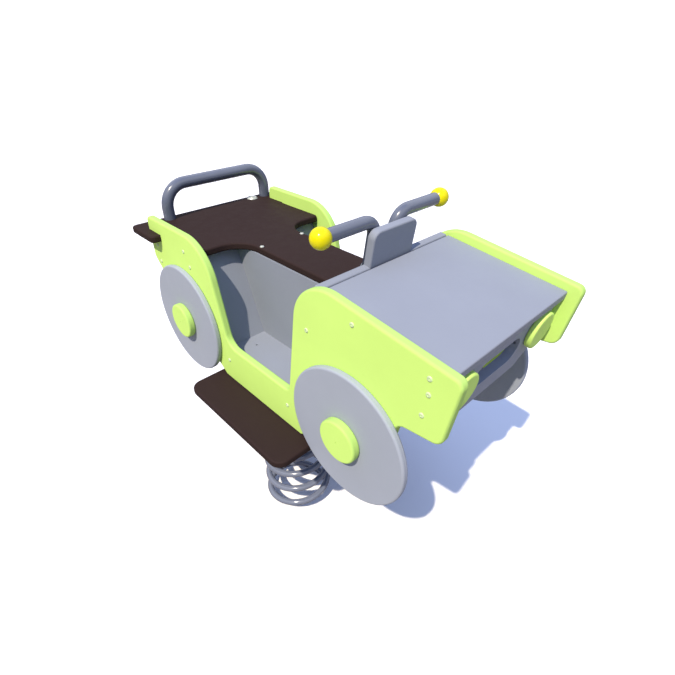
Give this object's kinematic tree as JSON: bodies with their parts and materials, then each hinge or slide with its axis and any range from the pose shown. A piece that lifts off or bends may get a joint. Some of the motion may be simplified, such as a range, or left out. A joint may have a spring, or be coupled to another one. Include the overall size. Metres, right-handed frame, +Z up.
{
  "type": "spring rocker",
  "caption": "Playground spring rocker shaped as an open off-road car, of rounded boards on paired coil springs, with bench, backrest bar, footboard and ball-ended handles.",
  "frame": {"origin": "centre of the underside of the ground anchor; the play surface is 81 mm above it", "axes": "+X towards the front of the car, +Y to the car's left, +Z up"},
  "size_m": [1.0599, 0.627, 1.0078],
  "materials": {
    "lime_board": "fine orange-peel grain, edges milled round",
    "grey_board": "fine orange-peel grain, edges milled round",
    "brown_board": "matte dark brown, slightly textured",
    "painted_tube": "glossy powder coat",
    "painted_spring": "satin powder coat",
    "yellow_knob": "glossy moulded",
    "black_cap": "moulded",
    "zinc_steel": "hot-dip galvanised",
    "stainless_fastener": "machined"
  },
  "bodies": {
    "ground_anchor": {"anchor_plate": "zinc_steel", "lower_spring_clamps": "zinc_steel", "lower_clamp_bolts": "stainless_fastener"},
    "coil_springs": {"right_spring": "painted_spring", "left_spring": "painted_spring"},
    "rocker_car": {"backrest_bar": "painted_tube", "backrest_leg_bolts": "stainless_fastener", "backrest_strap": "zinc_steel", "backrest_strap_bolts": "stainless_fastener", "backrest_strap_nuts": "stainless_fastener", "backrest_washers": "stainless_fastener", "chassis_bolts": "stainless_fastener", "chassis_nuts": "stainless_fastener", "dash_panel": "grey_board", "floor_panel": "grey_board", "footboard": "brown_board", "front_chassis_rail": "zinc_steel", "grille_panel": "grey_board", "handle_bolts": "stainless_fastener", "handle_end_caps": "black_cap", "handle_nuts": "stainless_fastener", "headlight_screws": "stainless_fastener", "hood_panel": "grey_board", "hub_inserts": "stainless_fastener", "left_ball_knob": "yellow_knob", "left_front_hub": "lime_board", "left_front_wheel": "grey_board", "left_handle_tube": "painted_tube", "left_headlight_disc": "lime_board", "left_panel_screws": "stainless_fastener", "left_rear_hub": "lime_board", "left_rear_wheel": "grey_board", "left_side_panel": "lime_board", "left_spine_panel": "grey_board", "rail_screws": "stainless_fastener", "rear_bulkhead": "grey_board", "rear_chassis_rail": "zinc_steel", "right_ball_knob": "yellow_knob", "right_front_hub": "lime_board", "right_front_wheel": "grey_board", "right_handle_tube": "painted_tube", "right_headlight_disc": "lime_board", "right_panel_screws": "stainless_fastener", "right_rear_hub": "lime_board", "right_rear_wheel": "grey_board", "right_side_panel": "lime_board", "right_spine_panel": "grey_board", "seat_board": "brown_board", "seat_screws": "stainless_fastener", "sill_bracket_screws": "stainless_fastener", "sill_brackets": "zinc_steel", "spine_screws": "stainless_fastener", "spring_top_plate": "zinc_steel", "tail_panel": "grey_board", "upper_clamp_bolts": "stainless_fastener", "upper_spring_clamps": "zinc_steel", "wheel_bolts": "stainless_fastener"}
  },
  "joints": [
    {"name": "rock_fore_aft", "type": "hinge", "parent": "ground_anchor", "child": "coil_springs", "pos_m": [0, 0, 0.245], "axis": [0, 1, 0], "range_deg": [-14, 14], "stiffness_Nm_per_rad": 500, "springref_deg": 0.66, "deforming": ["right_spring", "left_spring"]},
    {"name": "sway_sideways", "type": "hinge", "parent": "coil_springs", "child": "rocker_car", "pos_m": [0, 0, 0.245], "axis": [1, 0, 0], "range_deg": [-4, 4], "stiffness_Nm_per_rad": 1235, "springref_deg": 0.01, "deforming": ["right_spring", "left_spring"]}
  ]
}
